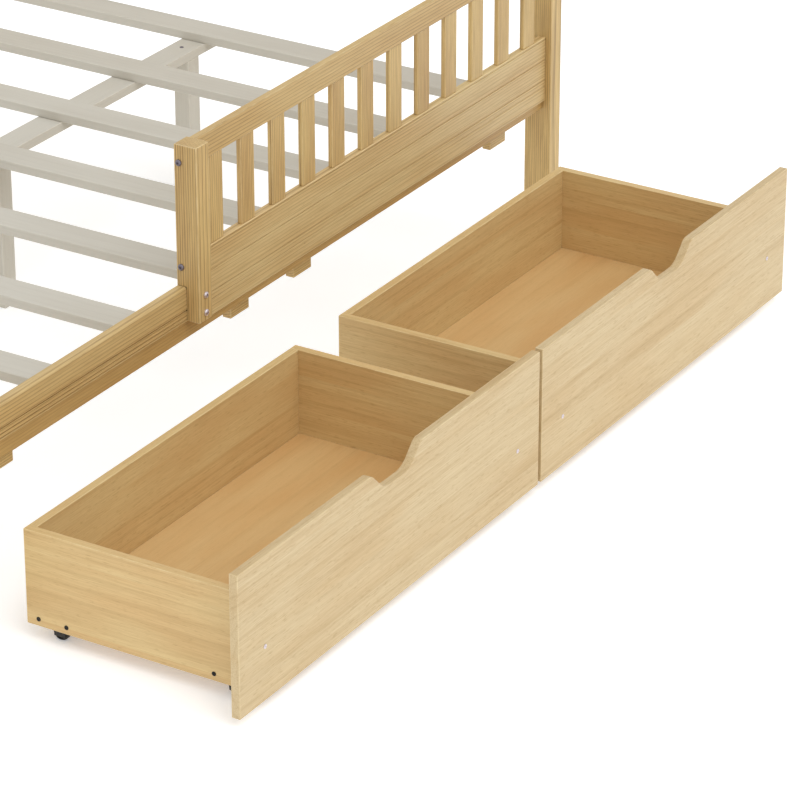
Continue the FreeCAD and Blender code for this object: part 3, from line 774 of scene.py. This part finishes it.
@dataclass
class Side:
    """One long side: posts, rail, ledger, cleat and guard. Lengths in metres."""

    shop: Workshop
    name: str                      # drawer_side or far_side
    facing: float                  # -1 where the outer face looks along -Y, 1 along +Y
    line: float = 0.9 * MM         # half the width of a scored line
    line_depth: float = 2.2 * MM
    groove_depth: float = 4.5 * MM
    groove_at: float = 20 * MM     # height of the rail's groove above its lower edge
    groove_mouth: float = 1.5 * MM  # half the groove's width at the face
    groove_floor: float = 1.0 * MM  # half its width at the floor
    rail_lines: tuple[float, float] = (11 * MM, 4 * MM)     # above the rail's lower edge
    board_joints: tuple[float, float] = (86 * MM, 44 * MM)  # above the board's lower edge
    board_bead: float = 30 * MM    # the bead's line above the board's lower edge
    board_top_line: float = 5 * MM  # the top line below the board's upper edge
    sharp: float = 0.15 * MM       # radius of a corner that isn't eased
    soft: float = 1.8 * MM
    rail_top: float = 5 * MM       # radius of the rail's upper outer edge
    rail_foot: float = 0.6 * MM    # radius of its lower outer edge
    ease: float = 0.6 * MM         # radius of the eased ends of rail, board and guard post
    post_ease: float = 2.5 * MM
    top_rail_ease: float = 2.0 * MM

    def build(self) -> None:
        """Make every piece of the side."""
        for end in ("head_post", "foot_post"):
            self.shop.boards(f"{end}_{self.name}", Finish.POST_PINE, Axis.Z, self.post_ease)
        self.shop.boards(f"ledger_{self.name}", Finish.LEDGER_PINE, Axis.X)
        self.shop.boards(f"slat_cleat_{self.name}", Finish.RAIL_PINE, Axis.X)
        self.shop.boards(f"guard_top_rail_{self.name}", Finish.RAIL_PINE, Axis.X,
                         self.top_rail_ease)
        self.shop.boards(f"guard_balusters_{self.name}", Finish.POST_PINE, Axis.Z, self.soft)
        self.rail()
        self.guard_board()
        self.guard_post()

    def section(self, node: str, corners: list[tuple[float, float, float]], finish: Finish,
                grain: Axis) -> None:
        """Carry a section along X for the length of a node.

        Args:
            node: The CAD node that the piece replaces.
            corners: Depth behind the outer face, height and radius of each corner.
            finish: What it is made of.
            grain: The axis that the grain follows.
        """
        low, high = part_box(node)
        face = high[1] if self.facing > 0 else low[1]
        outline = rounded([(face - self.facing * depth, height, radius)
                           for depth, height, radius in corners])
        self.shop.make(node, [slab(outline, Axis.X, low[0], high[0], self.ease)], finish, grain)

    def scored(self, height: float, depth: float) -> list[tuple[float, float, float]]:
        """Corners of a V-shaped line scored in the outer face, from its upper lip down."""
        return [(0, height + self.line, self.sharp), (depth, height, self.sharp),
                (0, height - self.line, self.sharp)]

    def rail(self) -> None:
        """The side rail: a rounded top edge, a groove, and two fine lines below it.

        The groove and the lines are drawn coarser than real, so that they show.
        """
        node = f"side_rail_{self.name}"
        low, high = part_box(node)
        bottom, top, thick = low[2], high[2], high[1] - low[1]
        groove, floor = bottom + self.groove_at, self.groove_depth
        corners = [(thick, bottom, self.soft), (thick, top, self.soft), (0, top, self.rail_top),
                   (0, groove + self.groove_mouth, self.sharp),
                   (floor, groove + self.groove_floor, self.sharp),
                   (floor, groove - self.groove_floor, self.sharp),
                   (0, groove - self.groove_mouth, self.sharp)]
        for height in self.rail_lines:
            corners += self.scored(bottom + height, self.line_depth)
        corners.append((0, bottom, self.rail_foot))
        self.section(node, corners, Finish.RAIL_PINE, Axis.X)

    def guard_board(self) -> None:
        """The guard board: glued joints and a bead show as lines, and a lip laps the ledger."""
        node = f"guard_board_{self.name}"
        low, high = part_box(node)
        bottom, top, thick = low[2], high[2], high[1] - low[1]
        ledger_low, ledger_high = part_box(f"ledger_{self.name}")
        shelf = ledger_high[2]
        lip = thick - (ledger_high[1] - ledger_low[1])
        corners = [(thick, shelf, self.sharp), (thick, top, self.soft), (0, top, self.soft),
                   *self.scored(top - self.board_top_line, self.line_depth)]
        for height in self.board_joints:
            corners += self.scored(bottom + height, self.line_depth)
        corners += [*self.scored(bottom + self.board_bead, self.line_depth / 2),
                    (0, bottom, self.soft), (lip, bottom, self.sharp), (lip, shelf, self.sharp)]
        self.section(node, corners, Finish.BOARD_PINE, Axis.X)

    def guard_post(self) -> None:
        """The guard post: its back stands on the rail, and its front laps over the rail."""
        node = f"guard_post_{self.name}"
        low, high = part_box(node)
        rail_low, rail_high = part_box(f"side_rail_{self.name}")
        thick = high[1] - low[1]
        proud = thick - (rail_high[1] - rail_low[1])
        corners = [(0, low[2], self.soft), (proud, low[2], self.sharp),
                   (proud, rail_high[2], self.sharp), (thick, rail_high[2], self.sharp),
                   (thick, high[2], self.soft), (0, high[2], self.soft)]
        self.section(node, corners, Finish.POST_PINE, Axis.Z)


@dataclass
class Deck:
    """Slats, centre beam, legs, stops and the two ends of the bed."""

    shop: Workshop
    slats: int = 8
    slat_ease: float = 2.2 * MM
    end_ease: float = 2.0 * MM     # of the rails and the board at the two ends

    def build(self) -> None:
        """Make the slatted deck and the ends."""
        for number in range(1, self.slats + 1):
            self.shop.boards(f"slat_{number}", Finish.WASHED_SLAT, Axis.Y, self.slat_ease)
        for end in ("foot", "head"):
            self.shop.boards(f"centre_beam_{end}", Finish.WASHED_SLAT, Axis.X)
        self.shop.boards("centre_legs", Finish.WASHED_SLAT, Axis.Z)
        self.shop.boards("drawer_stops", Finish.POST_PINE, Axis.X)
        for node in ("head_end_rail", "headboard_lower_rail", "headboard_top_rail"):
            self.shop.boards(node, Finish.RAIL_PINE, Axis.Y, self.end_ease)
        self.shop.boards("headboard_balusters", Finish.POST_PINE, Axis.Z)
        self.shop.boards("foot_board", Finish.BOARD_PINE, Axis.Y, self.end_ease)


@dataclass
class Fasteners:
    """Bolt and screw heads, each turned and with a hexagon socket. Shares of the head's size."""

    shop: Workshop
    socket: float = 0.40        # the socket's radius, of the head's radius
    socket_floor: float = 0.45  # how high the socket's floor lies, of the head's height
    socket_brim: float = 0.97   # how high its wall rises, of the head's height
    socket_pit: float = 0.2     # radius of the floor's middle, of the socket's radius
    mouth: float = 1.25         # radius where the dome starts, of the socket's radius
    crown: float = 0.45         # height where the domed crown starts, of the head's height
    crown_rings: int = 7
    screw_reach: float = 20 * MM  # how far behind a drawer's base its own screws may lie

    def head(self, low: Array, high: Array) -> Shape:
        """A domed head that fills a box, its back on the side nearer to the wood.

        The crown follows an ellipse: at an angle t the radius is cos t of the head's, and the
        height rises from the crown's start in step with sin t, to the full height at the mouth
        of the socket.

        Args:
            low: Lowest corner of the CAD head's box.
            high: Its highest corner.

        Returns:
            The head.
        """
        size = high - low
        axis = Axis(int(np.argmin(size)))
        height, radius = size[axis.value], np.sort(size)[-1] / 2
        middle = (low + high) / 2
        facing = self.outward(middle, axis)
        centre = middle.copy()
        centre[axis.value] -= facing * height / 2
        angle = np.linspace(np.arccos(self.socket * self.mouth), 0, self.crown_rings)
        rise = height * (self.crown + (1 - self.crown) * np.sin(angle) / np.sin(angle[0]))
        profile = [(radius * self.socket * self.socket_pit, height * self.socket_floor),
                   (radius * self.socket, height * self.socket_floor),
                   (radius * self.socket, height * self.socket_brim),
                   *zip(radius * np.cos(angle), rise), (radius, 0.0)]
        return turned(profile, centre, axis, facing, hex_rings=3)

    def outward(self, middle: Array, axis: Axis) -> float:
        """Find which way a head on this axis faces, away from the piece that holds it.

        Heads on Z face up, and those on Y face away from the slats. A drawer's heads on X face
        away from the middle of its base. The bed's heads on X face up the axis beyond the last
        slat, and down it elsewhere.

        Args:
            middle: Middle of the head's box.
            axis: The head's own axis.

        Returns:
            1 where it faces up the axis, -1 where it faces down.
        """
        if axis is Axis.Z:
            return 1.0
        if axis is Axis.Y:
            return -1.0 if middle[1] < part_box("slat_1")[0][1] else 1.0
        for drawer in ("drawer_1", "drawer_2"):
            low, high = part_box(f"{drawer}_front")
            box_low, box_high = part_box(f"{drawer}_base")
            within = low[0] < middle[0] < high[0] and middle[2] < high[2]
            if within and middle[1] < box_high[1] + self.screw_reach:
                return -1.0 if middle[0] < (box_low[0] + box_high[0]) / 2 else 1.0
        return 1.0 if middle[0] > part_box("slat_8")[1][0] else -1.0

    def build(self) -> None:
        """Make all the bolt and screw heads."""
        self.heads("frame_bolts", Finish.DULL_ZINC)
        for node in ("drawer_1_screws", "drawer_2_screws"):
            self.heads(node, Finish.PHOSPHATE)

    def heads(self, node: str, finish: Finish) -> None:
        """Make a node's heads: those on Y are bright zinc, and the others have the finish given.

        Args:
            node: The CAD node of the heads.
            finish: What the heads that aren't on Y are made of.
        """
        others, bright = [], []
        for low, high in solids(node):
            on_y = int(np.argmin(high - low)) == Axis.Y.value
            (bright if on_y else others).append(self.head(low, high))
        self.shop.make(node, others, finish, Axis.X)
        self.shop.make(node, bright, Finish.ZINC, Axis.X, part="bright_heads", slot="bolt")


@dataclass
class Drawer:
    """One rolling drawer. Lengths in metres."""

    shop: Workshop
    name: str
    floor_radius: float = 45 * MM    # of the finger notch, where its floor turns up
    lip_radius: float = 20 * MM      # of the notch, where its side meets the top edge
    depth: float = 38 * MM           # of the notch
    floor_half: float = 38.7 * MM    # half the length of its floor, before it is rounded
    notch_steps: int = 10            # points on each arc of the notch, less one
    front_soft: float = 1.5 * MM
    front_ease: float = 1.2 * MM
    panel_ease: float = 1.0 * MM
    bore: float = 2.55 * MM          # radius of the wheel's bore
    hub: float = 5 * MM              # radius of its hub
    web: float = 11.5 * MM           # radius where the dished web meets the tread
    dish: float = 2 * MM             # how deep the web is dished
    flare: float = 0.6 * MM          # how far the web's walls slope
    shoulder: float = 2.5 * MM       # radius of the tread's shoulders
    shoulder_rings: int = 5
    wheel_sides: int = 48

    def build(self) -> None:
        """Make the panels, the casters and their wheels."""
        self.front()
        for side in ("left", "right"):
            self.shop.boards(f"{self.name}_{side}_panel", Finish.BOX_PINE, Axis.Y,
                             self.panel_ease)
        self.shop.boards(f"{self.name}_back_panel", Finish.BOX_PINE, Axis.X, self.panel_ease)
        self.shop.boards(f"{self.name}_base", Finish.BASE_PLY, Axis.X)
        for part in ("brackets", "axles"):
            self.shop.dress(f"{self.name}_caster_{part}", Finish.COATED_SHEET)
        for row in ("front", "rear"):
            for side in ("left", "right"):
                self.wheel(f"{self.name}_{row}_{side}_wheel")

    def front(self) -> None:
        """The front panel with its scooped finger notch in the middle of the top edge."""
        node = f"{self.name}_front"
        low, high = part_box(node)
        middle, top = (low[0] + high[0]) / 2, high[2]
        soft = self.front_soft
        lip = self.floor_half + self.depth
        corners = [(low[0], low[2], soft), (high[0], low[2], soft), (high[0], top, soft),
                   (middle + lip, top, self.lip_radius),
                   (middle + self.floor_half, top - self.depth, self.floor_radius),
                   (middle - self.floor_half, top - self.depth, self.floor_radius),
                   (middle - lip, top, self.lip_radius), (low[0], top, soft)]
        panel = slab(rounded(corners, self.notch_steps), Axis.Y, low[1], high[1], self.front_ease)
        self.shop.make(node, [panel], Finish.FRONT_PINE, Axis.X)

    def wheel(self, node: str) -> None:
        """A moulded wheel: a flat tread, rounded shoulders and a dished web round the hub.

        Its half profile runs from the bore over the hub, down into the web, up its far wall and
        round the shoulder, a quarter circle, and the other half is its mirror image.

        Args:
            node: The CAD node of the wheel.
        """
        low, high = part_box(node)
        centre = np.array(low) / 2 + np.array(high) / 2
        half, radius = (high[0] - low[0]) / 2, (high[2] - low[2]) / 2
        soft = self.shoulder
        shoulder = [(radius - soft + soft * np.sin(turn), half - soft + soft * np.cos(turn))
                    for turn in np.linspace(0, np.pi / 2, self.shoulder_rings)]
        side = [(self.bore, half), (self.hub, half), (self.hub + self.flare, half - self.dish),
                (self.web - self.flare, half - self.dish), (self.web, half), *shoulder]
        profile = side + [(r, -h) for r, h in side[::-1]]
        wheel = turned(profile, centre, Axis.X, 1.0, self.wheel_sides, closed=True)
        self.shop.make(node, [wheel], Finish.NYLON, Axis.X)


# ------------------------------------------------------------------ stage


@dataclass
class Stage:
    """A white floor, soft light and the camera."""

    camera_at: tuple[float, float, float] = (-5.4570, -4.07275, 3.2375)
    right: tuple[float, float, float] = (0.5104, -0.8599, 0.0052)
    down: tuple[float, float, float] = (-0.3686, -0.2242, -0.9022)
    ahead: tuple[float, float, float] = (0.7770, 0.4585, -0.4314)
    lens_mm: float = 181.48
    shift: tuple[float, float] = (-0.0699, -0.0465)
    floor_half: float = 30.0
    floor_glow: float = 0.28
    surround: float = 0.80         # strength of the white surround
    sun_energy: float = 1.1
    sun_angle: float = 0.9         # how broad the sun is, in radians
    sun_towards: tuple[float, float, float] = (0.20, 0.50, -0.84)
    far_clip: float = 200.0

    def build(self) -> None:
        """Make the stage."""
        self.floor()
        self.light()
        self.camera()

    def floor(self) -> None:
        """A white floor, lit a little from below, under the wheels and the posts."""
        size = self.floor_half
        mesh = bpy.data.meshes.new("floor")
        mesh.from_pydata([(-size, -size, 0), (size, -size, 0), (size, size, 0), (-size, size, 0)],
                         [], [(0, 1, 2, 3)])
        material, tree = empty_material("white_floor")
        surface = add(tree, "BsdfPrincipled", {
            "Base Color": linear("FAFAFA"), "Roughness": 0.9, "Specular IOR Level": 0.0,
            "Emission Color": linear("F4F9FF"), "Emission Strength": self.floor_glow})
        out = add(tree, "OutputMaterial", {})
        tree.links.new(surface.outputs[0], out.inputs["Surface"])
        mesh.materials.append(material)
        floor = bpy.data.objects.new("floor", mesh)
        bpy.context.scene.collection.objects.link(floor)

    def light(self) -> None:
        """An even white surround, and one broad sun high on the drawer side."""
        world = bpy.data.worlds.new("studio")
        world.use_nodes = True
        sky = world.node_tree.nodes["Background"]
        sky.inputs["Color"].default_value = linear("FFFFFF")
        sky.inputs["Strength"].default_value = self.surround
        bpy.context.scene.world = world
        sun = bpy.data.lights.new("key", "SUN")
        sun.energy = self.sun_energy
        sun.angle = self.sun_angle
        key = bpy.data.objects.new("key", sun)
        key.rotation_mode = "QUATERNION"
        key.rotation_quaternion = Vector(self.sun_towards).to_track_quat("-Z", "Y")
        bpy.context.scene.collection.objects.link(key)

    def camera(self) -> None:
        """A long lens from the foot end's left, looking down on the drawers."""
        lens = bpy.data.cameras.new("camera")
        lens.lens = self.lens_mm
        lens.shift_x, lens.shift_y = self.shift
        lens.clip_end = self.far_clip
        made = bpy.data.objects.new("camera", lens)
        columns = [Vector(self.right), -Vector(self.down), -Vector(self.ahead)]
        turn = Matrix(columns).transposed().to_4x4()
        made.matrix_world = Matrix.Translation(self.camera_at) @ turn
        bpy.context.scene.collection.objects.link(made)
        bpy.context.scene.camera = made
        bpy.context.scene.view_settings.view_transform = "Standard"


def main() -> None:
    """Build the stage and the bed."""
    logging.basicConfig(level=logging.INFO)
    Stage().build()
    shop = Workshop()
    for name, facing in (("drawer_side", -1.0), ("far_side", 1.0)):
        Side(shop, name, facing).build()
    Deck(shop).build()
    for name in ("drawer_1", "drawer_2"):
        Drawer(shop, name).build()
    Fasteners(shop).build()


if __name__ == "__main__":
    main()
